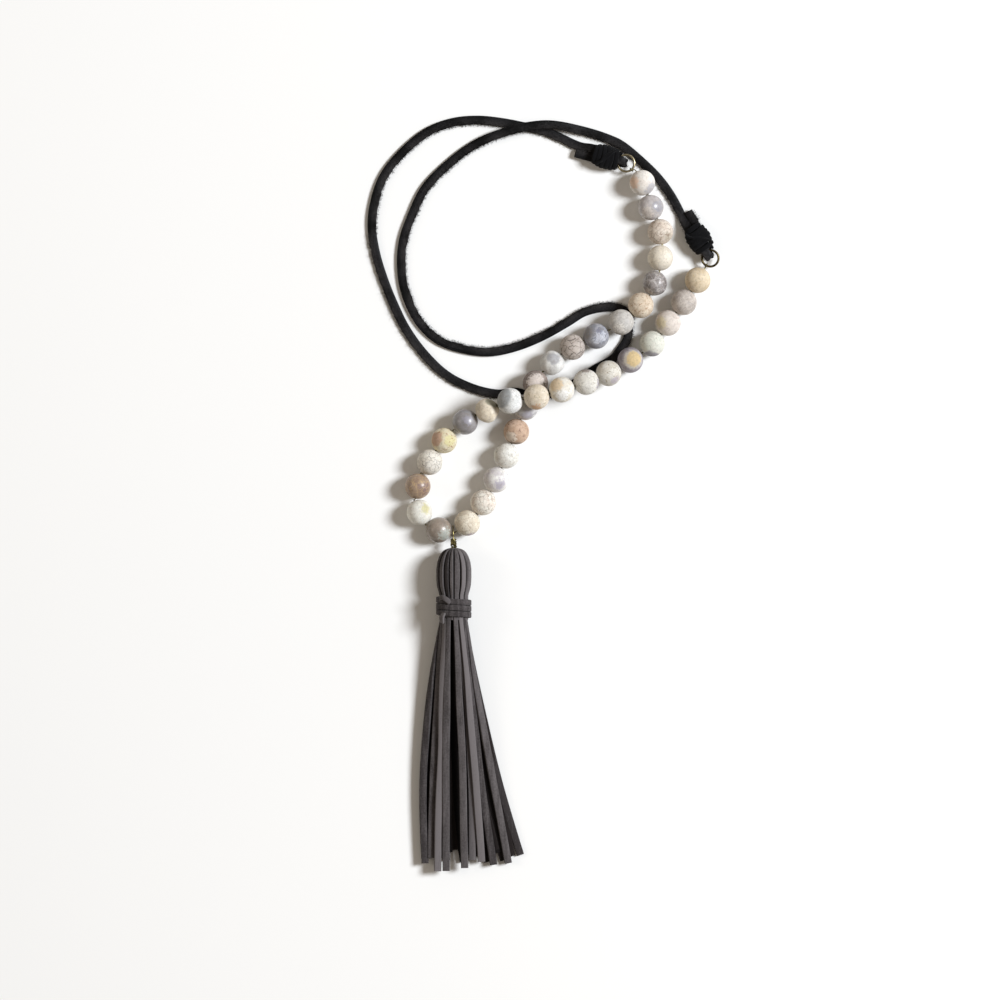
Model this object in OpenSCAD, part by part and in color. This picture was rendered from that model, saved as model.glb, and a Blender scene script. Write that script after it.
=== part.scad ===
// Long necklace of round stone beads with a black leather lace and a grey leather tassel, laid out flat.
// Millimetres, +Z up, +Y towards the far curve of the lace. The surface that it lies on is z = 0, and
// the origin is under the middle of the beads, the jump rings and the tassel.

/* [Beads] */
// Diameter of a stone bead
bead_d = 10; // [8:0.5:12]
// Diameter of the hole drilled through a bead
bead_hole_d = 1.3; // [1.1:0.1:2]
// Gap between two beads that lie closed up
bead_gap = 0.1; // [0.1:0.1:0.5]

/* [Beading wire] */
// Thickness of the wire that the beads are strung on
string_d = 0.4; // [0.3:0.1:0.6]

/* [Jump rings] */
// Outside diameter of a jump ring
ring_d = 7.3; // [7:0.1:9]
// Thickness of a jump ring
ring_wire_d = 0.9; // [0.6:0.1:1.2]
// Width of the slit where a jump ring opens
ring_slit = 0.15; // [0.1:0.05:0.4]
// Space between an end bead and its jump ring
ring_space = 1.2; // [0.7:0.1:2]

/* [Leather lace] */
// Width of the lace
lace_w = 3.4; // [3:0.1:4]
// Thickness of the lace
lace_t = 1.5; // [1:0.1:1.6]

/* [Bindings] */
// Width of the flat cord that binds an end of the lace
binding_w = 2.1; // [1:0.1:2.6]
// Thickness of that cord
binding_t = 1.1; // [0.5:0.1:1.5]
// Turns of a binding
binding_turns = 4; // [3:1:5]
// Distance from the middle of a jump ring to the middle of its binding
binding_back = 9.5; // [8.5:0.5:13]

/* [Tassel bail] */
// Thickness of the bail's wire
bail_wire_d = 0.6; // [0.4:0.1:0.9]
// Inside diameter of the eye on the beading wire
bail_eye_d = 1.6; // [1.4:0.1:2.5]
// Inside diameter of the eye in the tassel
bail_loop_d = 1.2; // [1.1:0.1:2]
// Turns of wire wrapped between the two eyes
bail_turns = 4; // [2:1:5]

/* [Tassel] */
// Diameter of the head
head_d = 13.8; // [12:0.2:18]
// Length of the head above the band
head_len = 19.2; // [14:0.5:26]
// Diameter of the neck under the band
neck_d = 11.4; // [9:0.2:11.8]
// Folded strips seen round the head
head_ribs = 14; // [10:1:18]
// Length of the tassel from the top of the head to the longest strip
tassel_len = 125; // [80:1:160]
// Breadth that the strips spread over at their ends
tassel_spread = 38; // [24:1:50]
// Width of a strip
strip_w = 2.8; // [2:0.1:3.4]
// Thickness of a strip
strip_t = 1.4; // [1:0.1:1.8]

/* [Tassel band] */
// Width of the flat strip wound round the neck
band_w = 2.2; // [1.4:0.1:3]
// Thickness of that strip
band_t = 1.1; // [0.6:0.1:1.6]
// Turns of the band
band_turns = 3; // [2:1:4]

/* [Fit] */
// Clearance between pieces that lie against each other
fit = 0.15; // [0.1:0.05:0.2]

/* [Hidden] */
$fn = 48;
beads_a_side = 17;
bead_count = 2 * beads_a_side;
up = [0, 0, 1];

// Routes are in bead pitches, so the whole strand grows with its beads. Strings: x, y, lift off the
// surface in bead diameters, and in thicknesses of the lace where it passes under the beads
// From the tassel to the first jump ring
first_route = [
    [-3.663, -0.327, 0, 0], [-3.069, 0.426, 0, 0], [-2.574, 1.287, 0, 0], [-1.782, 3.168, 0, 0.07],
    [-1.436, 4.109, 0, 0.65], [-1.059, 5.01, 0, 0.65], [-0.465, 5.752, 0, 0.15], [0.307, 6.376, 0, 0],
    [1.218, 6.802, 0, 0.1], [2.188, 7.337, 0, 0.93], [2.95, 7.97, 0, 0.42], [3.505, 8.802, 0, 0],
    [3.733, 9.772, 0, 0], [3.752, 10.772, 0, 0], [3.396, 11.703, 0, 0], [3.069, 12.653, 0, 0]
];
// From the tassel to the second jump ring, climbing over the first string
second_route = [
    [-4.752, -0.594, 0, 0], [-5.495, 0.099, 0, 0], [-5.545, 1.139, 0, 0], [-5.05, 2.079, 0, 0],
    [-4.554, 2.822, 0, 0], [-3.713, 3.564, 0.14, 0.15], [-2.822, 4.01, 0.42, 0.4],
    [-1.98, 4.356, 0.8, 0.65], [-0.941, 4.505, 0.87, 0.65], [0.05, 4.802, 0.79, 0.65],
    [0.99, 5.099, 0.55, 0.4], [1.832, 5.446, 0.19, 0.3], [2.624, 5.941, 0.02, 0.3],
    [3.465, 6.584, 0, 0.05], [4.059, 7.376, 0, 0], [4.703, 8.218, 0, 0], [5.248, 9.109, 0, 0]
];
// Where the string shows between two beads: number of the first bead, and extra gap in bead pitches
slack = [[7, 0.1], [20, 0.03], [22, 0.08], [24, 0.03], [25, 0.03], [27, 0.02], [30, 0.05]];
// Direction from each end bead to its jump ring, and of the lace's end into that ring, in degrees
ring_turns = [129, 60];
lace_turns = [-17, -60];

// Lace from the first binding to where it comes back to it: x, y, and lift in lace thicknesses
lace_route = [
    [-0.495, 14.653, 0], [-1.287, 14.851, 0], [-2.277, 15.05, 0], [-3.267, 15.149, 0],
    [-4.257, 15.05, 0], [-5.248, 14.653, 0], [-6.188, 13.861, 0], [-6.881, 12.97, 0],
    [-7.228, 11.98, 0], [-7.327, 11.04, 0], [-7.178, 10.05, 0], [-6.881, 9.059, 0], [-6.485, 8.069, 0],
    [-5.99, 7.079, 0], [-5.297, 6.139, 0], [-4.455, 5.347, 0], [-3.465, 4.851, 0], [-2.525, 4.634, 0],
    [-1.832, 4.703, 0], [-1.238, 4.574, 0], [-0.495, 4.634, 0], [0.396, 5, 0], [1.188, 5.545, 0],
    [1.881, 5.941, 0], [2.228, 6.337, 0], [2.475, 6.733, 0], [2.535, 7.178, 0], [2.495, 7.653, 0],
    [2.178, 7.901, 0], [1.634, 7.96, 0], [0.842, 7.772, 0], [0.149, 7.356, 0], [-0.792, 6.832, 0],
    [-1.782, 6.436, 0], [-2.772, 6.238, 0], [-3.762, 6.337, 0], [-4.752, 6.683, 0], [-5.495, 7.376, 0],
    [-5.99, 8.366, 0], [-6.188, 9.356, 0], [-6.139, 10.446, 0], [-5.792, 11.485, 0],
    [-5.248, 12.574, 0], [-4.257, 13.564, 0], [-3.267, 14.257, 0.2], [-2.277, 14.653, 1.14],
    [-1.287, 14.901, 1.27], [-0.347, 14.95, 1.14]
];
// Beside the first binding and ring: distance along that end, room past the binding, and lift in lace
// thicknesses
beside_binding = [[-19, 0.2, 0.2], [-9.5, 0.1, 0], [-3, -1, 0], [5.5, -5.2, 0]];
// From there to the second binding
lace_return = [
    [3.703, 12.931, 0], [4.198, 12.257, 0]
];
// An end of the lace from its cut, through its binding, round the jump ring and back: distance from the
// middle of the ring, or of the binding where the last number is 1, offset in lace widths, and height
// above the ring in folds
lace_end = [
    [-10.5, 0.56, -1.3, 1], [-4.5, 0.56, -0.65, 1], [0, 0.54, -0.62, 1], [-6, 0.32, -0.75, 0],
    [-3.3, 0.15, -1, 0], [-1.9, 0.1, -1, 0], [-0.9, 0.05, -0.7, 0], [-0.55, 0, 0, 0],
    [-0.9, -0.05, 0.7, 0], [-1.9, -0.1, 1, 0], [-3.3, -0.15, 1, 0], [-6, -0.32, 0.75, 0],
    [0, -0.54, 0.62, 1], [-4.5, -0.56, 0, 1], [-10.5, -0.56, -1.9, 1]
];
// Half width and half height of the two layers inside a binding, in lace widths and thicknesses
layers_w = 1.13;
layers_t = 1.35;
// A binding narrows towards its ring by this share
binding_taper = 0.14;

// Top of the head: share of its length and of its radius
dome = [
    [0, 0.3], [0.015, 0.46], [0.05, 0.63], [0.1, 0.75], [0.17, 0.85], [0.28, 0.95], [0.42, 1], [0.6, 1]
];
// From the widest place down to the neck: share of the length and of the step from neck to head
waist = [[0.75, 0.85], [0.86, 0.45], [0.93, 0]];
// One rib of the head: share of its width, and depth in groove depths
rib = [[0, 1], [0.14, 0.22], [0.5, 0], [0.86, 0.22]];
groove = 0.8;
// Upper strips: turn round the neck, radius in neck radii, side at the middle and at the end in spreads,
// height of the end in strip thicknesses, length in tassel lengths
upper_strips = [
    [-86, 1, -0.29, -0.3, 0.5, 0.976], [-62, 1, -0.195, -0.235, 0.6, 0.959], [-44, 1, -0.13, -0.165, 1.6, 1],
    [-24, 1, -0.09, -0.08, 1.7, 0.999], [-4, 0.8, -0.005, 0.005, 0.8, 0.981], [9, 1, 0.083, 0.11, 2.2, 0.99],
    [24, 0.8, 0.163, 0.19, 1, 0.966], [33, 1, 0.19, 0.28, 1.7, 0.971], [50, 1, 0.245, 0.4, 1.6, 0.981],
    [62, 0.8, 0.316, 0.475, 0.6, 0.97], [72, 1, 0.363, 0.57, 1.5, 0.976], [90, 1, 0.39, 0.68, 0.5, 0.951]
];
// Lower strips: how many, the turn of the first round the neck, and the arc that they fill
lower_strips = 11;
lower_arc = [108, 144];
// Hidden middle of the bundle: length past the neck, width, thickness and height above the surface, in
// neck radii
bundle = [4.6, 2.2, 0.5, 0.65];

bead_pitch = bead_d + bead_gap;
wire_r = string_d / 2;
ring_wire_r = ring_wire_d / 2;
ring_r = ring_d / 2 - ring_wire_r;
fold = ring_wire_r + fit + lace_t / 2;
binding_half_w = layers_w * (lace_w + fit) + fit;
binding_half_h = layers_t * (lace_t + fit);
ring_z = binding_half_h + binding_t;
bail_r = bail_wire_d / 2;
eye_r = bail_eye_d / 2 + bail_r;
loop_r = bail_loop_d / 2 + bail_r;
head_r = head_d / 2;
neck_r = neck_d / 2;
tassel_r = max(head_r, neck_r + fit + band_t);
band_pitch = band_w + fit;
neck_len = head_len + band_turns * band_pitch + band_w / 2 + fit;

function unit(v) = v / norm(v);
function last(list) = list[len(list) - 1];
function heading(path, i) = unit(path[min(i + 1, len(path) - 1)] - path[max(i - 1, 0)]);
function across(axis, v) = unit(axis - (axis * v) * v);

// Smooth curve through a route, with close points between two of its own
function between(a, b, c, d, t) =
    0.5 * (2 * b + (c - a) * t + (2 * a - 5 * b + 4 * c - d) * t ^ 2 + (3 * b - a - 3 * c + d) * t ^ 3);
function curve(route, steps) = [
    for (i = [0 : len(route) - 2])
        let (b = route[i])
        let (c = route[i + 1])
        let (a = i > 0 ? route[i - 1] : 2 * b - c)
        let (d = i < len(route) - 2 ? route[i + 2] : 2 * c - b)
        for (t = [0 : 1 / steps : 1 - 0.5 / steps]) between(a, b, c, d, t)
];

// Beads strung along a curve: each centre lies one pitch from the last, measured straight
function pitch_after(i) = bead_pitch * (1 + max([0, for (row = slack) if (row[0] == i) row[1]]));
function beyond(path, at, reach, i) =
    i == len(path) - 1 || norm(path[i] - at) >= reach ? i : beyond(path, at, reach, i + 1);
function reached(a, b, at, reach) =
    let (d = b - a)
    let (f = a - at)
    let (half = f * d)
    a + d * (sqrt(half ^ 2 - (d * d) * (f * f - reach ^ 2)) - half) / (d * d);
function strung(path, pitches, at, i = 1, k = 0) =
    k == len(pitches) ? [at] :
    let (j = beyond(path, at, pitches[k], i))
    concat([at], strung(path, pitches, reached(path[j - 1], path[j], at, pitches[k]), j, k + 1));
function string_point(p) =
    let (z = bead_d * (0.5 + max(p[2], 0)) + lace_t * max(p[3], 0))
    [bead_pitch * p[0], bead_pitch * p[1], z];
function string_path(route) =
    let (fine = [for (p = curve(route, 12)) string_point(p)])
    concat(fine, [last(fine) + 2 * bead_pitch * heading(fine, len(fine) - 1)]);

first_path = string_path(first_route);
second_path = string_path(second_route);
first_pitches = [for (i = [beads_a_side - 1 : -1 : 1]) pitch_after(i)];
second_pitches = [for (i = [beads_a_side + 1 : bead_count - 1]) pitch_after(i)];
first_side = strung(first_path, first_pitches, first_path[0]);
second_side = strung(second_path, second_pitches, second_path[0]);
sides = [first_side, second_side];

// Jump rings: flat, one ring space past each end bead
function direction(turn) = [cos(turn), sin(turn), 0];
function ring_at(k) =
    let (bead = last(sides[k]))
    let (reach = bead_d / 2 + ring_space + ring_d / 2)
    [bead[0], bead[1], ring_z] + reach * direction(ring_turns[k]);
function ring_seat(k) = ring_at(k) - ring_r * direction(ring_turns[k]);

// Bore of each bead points from the bead before it to the one after it
wire_middle = (first_side[0] + second_side[0]) / 2;
function bore(k, i) =
    let (before = i > 0 ? sides[k][i - 1] : wire_middle)
    let (after = i < beads_a_side - 1 ? sides[k][i + 1] : ring_seat(k))
    unit(after - before);
function bead_place(n) = n <= beads_a_side ? [0, beads_a_side - n] : [1, n - beads_a_side - 1];

// Beading wire: through every bore, drawn a little to what comes next at its mouth, with a hook round
// the jump ring at each end
hook_r = ring_wire_r + fit + wire_r;
function hook(k) = [
    for (a = [130 : -36 : -194]) ring_seat(k) + hook_r * (cos(a) * direction(ring_turns[k]) + sin(a) * up)
];
function mouth(k, i, s) = sides[k][i] + s * bead_d / 2 * bore(k, i);
function wire_at(k, i, s) =
    let (own = mouth(k, i, s))
    let (j = i + s)
    let (step = (j < 0 ? wire_middle : j < beads_a_side ? mouth(k, j, -s) : hook(k)[0]) - own)
    own + min(norm(step) / 3, (bead_hole_d / 2 - wire_r) / 2) * unit(step);
function wire_half(k) =
    concat([for (i = [0 : beads_a_side - 1]) for (s = [-1, 1]) wire_at(k, i, s)], hook(k));
wire_low = (wire_half(0)[0] + wire_half(1)[0]) / 2;
function backwards(list) = [for (i = [len(list) - 1 : -1 : 0]) list[i]];

// Lace: out round the first ring, along the route, and round the second ring to its other cut end
function end_point(k, row) =
    let (d = direction(lace_turns[k]))
    let (n = (k == 0 ? -1 : 1) * cross(up, d))
    let (p = ring_at(k) + (row[0] - row[3] * binding_back) * d + row[1] * lace_w * n + row[2] * fold * up)
    [p[0], p[1], max(p[2], lace_t / 2)];
function route_point(p) = [bead_pitch * p[0], bead_pitch * p[1], lace_t * (p[2] + 0.5)];
function beside_point(row) =
    let (d = direction(lace_turns[0]))
    let (out = binding_half_w + binding_t + fit + lace_w / 2 + row[1])
    let (p = ring_at(0) + row[0] * d + out * cross(up, d))
    [p[0], p[1], lace_t * (row[2] + 0.5)];
lace_path = concat(
    [for (row = lace_end) end_point(0, row)],
    [for (p = lace_route) route_point(p)],
    [for (row = beside_binding) beside_point(row)],
    [for (p = lace_return) route_point(p)],
    [for (row = backwards(lace_end)) end_point(1, row)]
);

// Tassel: its widest place lies on the surface, and the bail reaches from it to the beading wire
bail_coil = loop_r + bail_r;
bail_pitch = bail_wire_d + fit / 3;
bail_rise = loop_r + bail_r + 2 * fit;
bail_top = bail_rise + bail_coil + (bail_turns - 1) * bail_pitch + bail_r + eye_r;
bail_len = bail_top + eye_r - bail_r - fit - wire_r;
bail_drop = tassel_r - wire_low[2];
bail_run = sqrt(bail_len ^ 2 - bail_drop ^ 2);
tassel_at = [wire_low[0], wire_low[1] - bail_run, tassel_r];

// Sweeps a profile along a path, with its width along the given sides
function steady(path, axis) = [for (p = path) axis];
function level(path, side, i = 0) =
    i == len(path) ? [] :
    let (h = cross(up, heading(path, i)))
    let (s = norm(h) < 0.35 ? side : h * side < 0 ? -unit(h) : unit(h))
    concat([s], level(path, s, i + 1));
function turning(path, side, i = 0) =
    i == len(path) ? [] :
    let (s = across(side, heading(path, i)))
    concat([s], turning(path, s, i + 1));
module sweep(path, widths, profile) {
    m = len(profile);
    n = len(path);
    points = [
        for (i = [0 : n - 1])
            let (t = heading(path, i))
            let (s = across(widths[i], t))
            for (q = profile) path[i] + q[0] * s + q[1] * cross(t, s)
    ];
    walls = [
        for (i = [0 : n - 2]) for (j = [0 : m - 1])
            let (a = i * m + j)
            let (b = i * m + (j + 1) % m)
            each [[a, a + m, b + m], [a, b + m, b]]
    ];
    caps = [[for (j = [0 : m - 1]) j], [for (j = [m - 1 : -1 : 0]) (n - 1) * m + j]];
    polyhedron(points, concat(walls, caps), convexity = 12);
}
function flat_profile(w, t, chamfer) =
    let (a = w / 2)
    let (b = t / 2)
    let (c = chamfer)
    [
        [a, c - b], [a, b - c], [a - c, b], [c - a, b],
        [-a, b - c], [-a, c - b], [c - a, -b], [a - c, -b]
    ];
function rectangle(w, t) = [[w / 2, -t / 2], [w / 2, t / 2], [-w / 2, t / 2], [-w / 2, -t / 2]];
function round_profile(d, count) = [
    for (j = [0 : count - 1])
        let (turn = 360 * j / count)
        d / 2 * [cos(turn), sin(turn)]
];

module point_z_along(v) {
    rotate([0, acos(v[2] / norm(v)), atan2(v[1], v[0])]) children();
}

// Stone colours, and which one each bead has
stones = ["#e9e4da", "#cfc4b4", "#a79d98", "#8f8480", "#d8b893", "#c9a179", "#b9b4bd", "#e3d7bd"];
bead_stones = [
    0, 6, 1, 7, 3, 4, 2, 6, 1, 0, 3, 6, 5, 0, 6, 0, 0,
    3, 0, 3, 1, 4, 2, 7, 2, 7, 0, 1, 1, 4, 7, 1, 2, 7
];

module bead(n) {
    place = bead_place(n);
    color(stones[bead_stones[n - 1]])
        translate(sides[place[0]][place[1]])
            point_z_along(bore(place[0], place[1]))
                difference() {
                    sphere(d = bead_d);
                    cylinder(d = bead_hole_d, h = bead_d + 1, center = true);
                }
}

module beading_wire() {
    path = concat(backwards(wire_half(0)), [wire_low], wire_half(1));
    color("#b08d3f") sweep(path, turning(path, up), round_profile(string_d, 6));
}

module jump_ring(k) {
    slit_turn = 360 * ring_slit / (2 * PI * ring_r);
    color("#8a7540")
        translate(ring_at(k))
            rotate(ring_turns[k] + 75)
                rotate_extrude(angle = 360 - slit_turn)
                    translate([ring_r, 0]) circle(d = ring_wire_d, $fn = 24);
}

module leather_lace() {
    first_across = cross(up, direction(lace_turns[0]));
    color("#1d1b1c")
        sweep(lace_path, level(lace_path, first_across), flat_profile(lace_w, lace_t, lace_t / 4));
}

// Rounded oblong turns of flat cord round the two layers of the lace
module lace_binding(k) {
    d = direction(lace_turns[k]);
    n = cross(up, d);
    a = binding_half_w + binding_t / 2;
    b = binding_half_h + binding_t / 2;
    pitch = binding_w + fit;
    back = binding_back + binding_turns * pitch / 2;
    path = [
        for (turn = [0 : 20 : 360 * binding_turns])
            let (x = sign(cos(turn)) * sqrt(abs(cos(turn))))
            let (z = sign(sin(turn)) * sqrt(abs(sin(turn))))
            let (near = max(0, turn / (180 * binding_turns) - 1))
            let (side = a * (1 - binding_taper * near ^ 2) * x)
            ring_at(k) + (turn / 360 * pitch - back) * d + side * n + b * z * up
    ];
    color("#141213") sweep(path, steady(path, d), flat_profile(binding_w, binding_t, binding_t / 4));
}

// Two wire eyes at right angles with wrapped wire between them
module tassel_bail() {
    axis = [0, bail_run, -bail_drop];
    color("#b08d3f")
        translate(tassel_at)
            point_z_along(axis) {
                translate([0, 0, bail_rise]) rotate([90, 0, 90]) wire_ring(loop_r);
                translate([0, 0, bail_top]) rotate([90, 0, 0]) wire_ring(eye_r);
                translate([0, 0, bail_rise + loop_r])
                    cylinder(r = bail_r, h = bail_top - eye_r - bail_rise - loop_r);
                for (i = [0 : bail_turns - 1])
                    translate([0, 0, bail_rise + bail_coil + i * bail_pitch]) wire_ring(0.75 * bail_wire_d);
            }
}
module wire_ring(r) {
    rotate_extrude() translate([r, 0]) circle(r = bail_r, $fn = 24);
}

// The tassel is drawn standing on its head's top, with +Z down its length, and then laid down
module laid_down() {
    translate(tassel_at) rotate([90, 0, 0]) children();
}

module tassel() {
    color("#6b6463")
        laid_down() {
            tassel_head();
            for (s = upper_strips) strip(s[0], s[1], s[2], s[3], s[4], s[5]);
            for (i = [0 : lower_strips - 1])
                let (share = i / (lower_strips - 1))
                let (turn = lower_arc[0] + lower_arc[1] * share)
                let (height = 0.5 + 0.04 * (i % 3))
                let (length = 0.955 + 0.02 * sin(140 * i))
                strip(turn, 1, 0.28 - 0.5 * share, 0.6 - 0.84 * share, height, length);
            hull() {
                translate([0, 0, neck_len - strip_t]) cylinder(r = neck_r, h = strip_t);
                translate([0, bundle[3] * neck_r - tassel_r, neck_len + bundle[0] * neck_r])
                    cube([bundle[1] * neck_r, bundle[2] * neck_r, strip_t], center = true);
            }
        }
}

// Ribbed dome down to the neck, with a folded loop at the top for the bail's eye
module tassel_head() {
    rings = concat(
        [for (row = dome) [row[0] * head_len, row[1] * head_r]],
        [for (row = waist) [row[0] * head_len, neck_r + row[1] * (head_r - neck_r)]],
        [[neck_len, neck_r]]
    );
    m = head_ribs * len(rib);
    points = [
        for (ring = rings) for (i = [0 : head_ribs - 1]) for (row = rib)
            let (turn = 360 * (i + row[0]) / head_ribs)
            let (depth = ring[1] == neck_r ? 0 : groove * row[1] * ring[1] / head_r)
            [(ring[1] - depth) * cos(turn), (ring[1] - depth) * sin(turn), ring[0]]
    ];
    walls = [
        for (i = [0 : len(rings) - 2]) for (j = [0 : m - 1])
            let (a = i * m + j)
            let (b = i * m + (j + 1) % m)
            each [[a, a + m, b + m], [a, b + m, b]]
    ];
    caps = [[for (j = [0 : m - 1]) j], [for (j = [m - 1 : -1 : 0]) (len(rings) - 1) * m + j]];
    polyhedron(points, concat(walls, caps), convexity = 6);
    bar_r = bail_loop_d / 2 - fit;
    loop_step = 36;
    for (turn = [-loop_step : loop_step : 180])
        hull() {
            for (a = [turn, turn + loop_step])
                translate(bail_rise * [0, cos(a), -sin(a)]) sphere(r = bar_r, $fn = 8);
        }
}

// One flat strip: it leaves the neck with its corners inside it, sinks to its height and bends to its side
module strip(turn, radius, mid_side, end_side, end_height, length) {
    steps = 8;
    start = neck_len;
    run = tassel_len * length - start;
    r = (sqrt(neck_r ^ 2 - (strip_w / 2) ^ 2) - strip_t / 2) * radius;
    side0 = r * sin(turn);
    side1 = mid_side * tassel_spread;
    side2 = end_side * tassel_spread;
    height = end_height * strip_t - tassel_r;
    roll = abs(turn) > 90 ? turn - 180 : turn;
    root = [0.8 * side0, 0.8 * r * cos(turn), start - strip_t];
    shares = [for (i = [0 : steps]) i / steps];
    places = [
        root,
        for (t = shares) [
            side0 * (1 - t) * (1 - 2 * t) + side1 * 4 * t * (1 - t) + side2 * t * (2 * t - 1),
            height + (r * cos(turn) - height) * (1 - t) ^ 2,
            start + run * t
        ]
    ];
    rolls = [roll, for (t = shares) roll * (1 - t) ^ 2];
    path = [for (i = [0 : len(places) - 1]) above_surface(places[i], rolls[i])];
    sweep(path, [for (a = rolls) [cos(a), -sin(a), 0]], rectangle(strip_w, strip_t));
}
function above_surface(p, roll) =
    let (reach = strip_w / 2 * abs(sin(roll)) + strip_t / 2 * abs(cos(roll)))
    [p[0], max(p[1], reach - tassel_r), p[2]];

// Flat strip wound round the neck
module tassel_band() {
    r = neck_r + fit + band_t / 2;
    path = [
        for (turn = [0 : 12 : 360 * band_turns])
            [r * sin(turn), -r * cos(turn), head_len + turn / 360 * band_pitch]
    ];
    color("#6b6463")
        laid_down() sweep(path, steady(path, up), flat_profile(band_w, band_t, band_t / 4));
}

bead_names = [for (n = [1 : bead_count]) str("bead_", n < 10 ? "0" : "", n)];

for (n = [1 : bead_count]) bead(n);
beading_wire();
jump_ring(0);  // jump_ring_1
jump_ring(1);  // jump_ring_2
leather_lace();
lace_binding(0);  // lace_binding_1
lace_binding(1);  // lace_binding_2
tassel_bail();
tassel();
tassel_band();
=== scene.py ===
import random
from functools import partial
from math import asin, atan2, copysign, cos, pi, radians, sin, sqrt

import bpy
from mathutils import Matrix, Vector, noise


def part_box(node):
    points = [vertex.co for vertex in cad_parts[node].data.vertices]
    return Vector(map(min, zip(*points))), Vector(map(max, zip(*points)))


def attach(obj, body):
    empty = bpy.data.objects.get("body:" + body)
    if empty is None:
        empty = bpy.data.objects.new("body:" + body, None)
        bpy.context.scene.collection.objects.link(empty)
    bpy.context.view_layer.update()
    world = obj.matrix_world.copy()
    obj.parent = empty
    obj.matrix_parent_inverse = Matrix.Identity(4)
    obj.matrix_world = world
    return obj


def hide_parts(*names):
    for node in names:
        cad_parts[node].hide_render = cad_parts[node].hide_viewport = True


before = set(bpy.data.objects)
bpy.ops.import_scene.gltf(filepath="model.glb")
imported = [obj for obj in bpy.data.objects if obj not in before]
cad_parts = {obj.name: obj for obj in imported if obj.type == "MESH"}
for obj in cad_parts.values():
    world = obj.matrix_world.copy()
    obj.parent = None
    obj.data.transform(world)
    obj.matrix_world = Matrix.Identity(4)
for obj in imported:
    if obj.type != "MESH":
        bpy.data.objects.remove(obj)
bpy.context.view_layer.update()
mm = 0.001
up = Vector((0, 0, 1))
beadCount = 34
stringLength = beadCount // 2
# plain sRGB, so that black leather stays black beside a white floor
bpy.context.scene.view_settings.view_transform = "Standard"
print("frame loaded:", len(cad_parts), "nodes")


# helpers

# sRGB hex to the linear colour that shader sockets take
def colour(code):
    parts = [int(code[i:i + 2], 16) / 255 for i in (1, 3, 5)]
    return (*[p / 12.92 if p <= 0.04045 else ((p + 0.055) / 1.055) ** 2.4 for p in parts], 1)


# one node with its settings; an input takes a value, a hex colour, an output, or a node for its first
# live output
def addNode(tree, kind, inputs=None, **settings):
    node = tree.nodes.new(kind)
    for key, value in settings.items():
        setattr(node, key, value)
    for key, value in (inputs or {}).items():
        if isinstance(value, bpy.types.Node):
            value = next(output for output in value.outputs if output.enabled)
        elif isinstance(value, str) and value.startswith("#"):
            value = colour(value)
        if isinstance(value, bpy.types.NodeSocket):
            tree.links.new(value, node.inputs[key])
        else:
            node.inputs[key].default_value = value
    return node


# an empty material, the function that adds its nodes, and the Object coordinates that its patterns read
def newMaterial(name):
    material = bpy.data.materials.new(name)
    material.use_nodes = True
    tree = material.node_tree
    tree.nodes.clear()
    return material, partial(addNode, tree), addNode(tree, "ShaderNodeTexCoord").outputs["Object"]


# closes a material with its shader, whose inputs are given, and the output
def finishMaterial(material, inputs):
    shader = addNode(material.node_tree, "ShaderNodeBsdfPrincipled", inputs)
    addNode(material.node_tree, "ShaderNodeOutputMaterial", {"Surface": shader})
    return material


# a material of two tones that one noise mixes, with the noise as its relief where a depth is given
def twoToned(name, pattern, dark, light, finish, relief=0, depth=0):
    material, add, place = newMaterial(name)
    grain = add("ShaderNodeTexNoise", {"Vector": place, **pattern})
    tone = add("ShaderNodeMix", {0: grain, 6: dark, 7: light}, data_type="RGBA")
    if depth:
        finish["Normal"] = add("ShaderNodeBump", {"Height": grain, "Strength": relief, "Distance": depth})
    return finishMaterial(material, {"Base Color": tone, **finish})


# a Geometry Nodes tree with named inputs: (name, socket kind, value)
def newGeometryTree(name, sockets):
    tree = bpy.data.node_groups.new(name, "GeometryNodeTree")
    tree.interface.new_socket("Geometry", in_out="INPUT", socket_type="NodeSocketGeometry")
    tree.interface.new_socket("Geometry", in_out="OUTPUT", socket_type="NodeSocketGeometry")
    for label, kind, value in sockets:
        item = tree.interface.new_socket(label, in_out="INPUT", socket_type=kind)
        if value is not None:
            item.default_value = value
    return tree, partial(addNode, tree), tree.nodes.new("NodeGroupInput").outputs


def finishGeometryTree(tree, given, geometry):
    real = addNode(tree, "GeometryNodeRealizeInstances", {"Geometry": geometry})
    coated = addNode(tree, "GeometryNodeSetMaterial", {"Geometry": real, "Material": given["Material"]})
    addNode(tree, "NodeGroupOutput", {0: coated})
    return tree


def newMesh(name, corners, faces):
    mesh = bpy.data.meshes.new(name)
    mesh.from_pydata(corners, [], faces)
    return mesh


def addObject(name, data):
    thing = bpy.data.objects.new(name, data)
    bpy.context.scene.collection.objects.link(thing)
    return thing


# a finished piece on the one body, shown in place of its CAD node
def dress(piece, node):
    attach(piece, "root")
    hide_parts(node)


# runs a tree on some data and keeps the result as a plain mesh object
def grown(name, data, tree, values, sharpAngle=40):
    carrier = addObject(name + "_source", data)
    modifier = carrier.modifiers.new("grow", "NODES")
    modifier.node_group = tree
    for item in tree.interface.items_tree:
        if item.in_out == "INPUT" and item.name in values:
            modifier[item.identifier] = values[item.name]
    graph = bpy.context.evaluated_depsgraph_get()
    mesh = bpy.data.meshes.new_from_object(carrier.evaluated_get(graph), depsgraph=graph)
    mesh.name = name
    mesh.shade_smooth()
    mesh.set_sharp_from_angle(angle=radians(sharpAngle))
    bpy.data.objects.remove(carrier)
    return addObject(name, mesh)


def boxCentre(node):
    low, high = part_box(node)
    return (Vector(low) + Vector(high)) / 2


def smoothStep(t):
    t = min(max(t, 0), 1)
    return t * t * (3 - 2 * t)


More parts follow.
